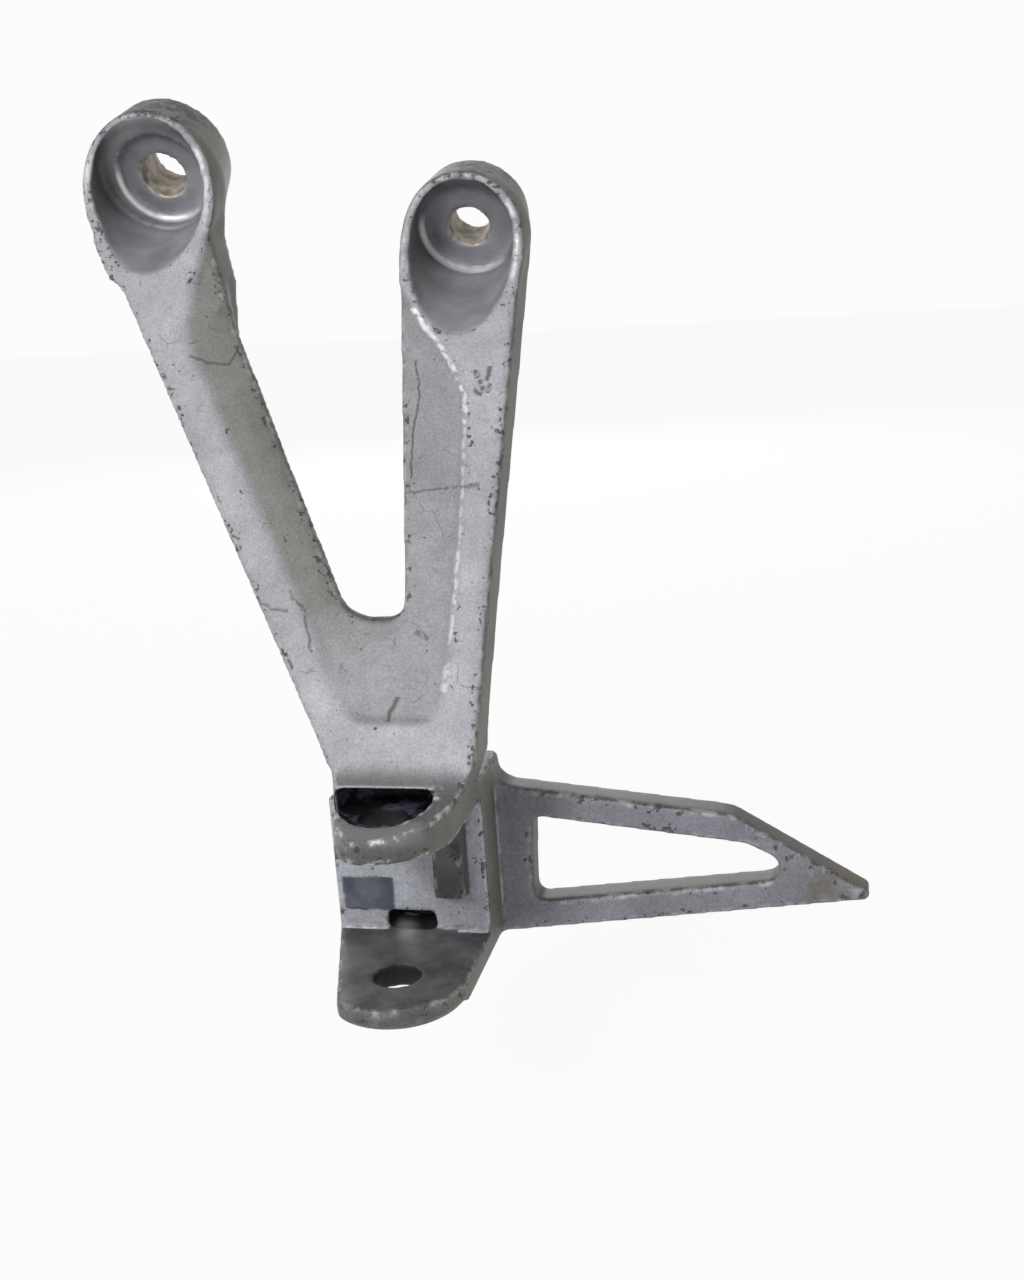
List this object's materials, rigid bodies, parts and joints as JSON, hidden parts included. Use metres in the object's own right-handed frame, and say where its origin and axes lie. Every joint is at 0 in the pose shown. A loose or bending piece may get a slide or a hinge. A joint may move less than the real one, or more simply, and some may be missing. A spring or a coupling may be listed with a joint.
{
  "type": "motorcycle footrest hanger",
  "caption": "Cast aluminium footrest hanger with pocketed bolt bosses on forked arms, an eared clevis for the peg pin and a windowed side wing.",
  "frame": {"origin": "on the peg pin's axis, at the top face of the lower ear", "axes": "+Z along the pin axis, up towards the bosses; +X towards the tip of the wing; +Y in towards the motorcycle"},
  "size_m": [0.1778, 0.0936, 0.1948],
  "materials": {
    "cast_aluminium": "worn silver-grey paint over cast metal, bare in the machined pockets"
  },
  "bodies": {
    "root": {"hanger": "cast_aluminium"}
  },
  "joints": []
}
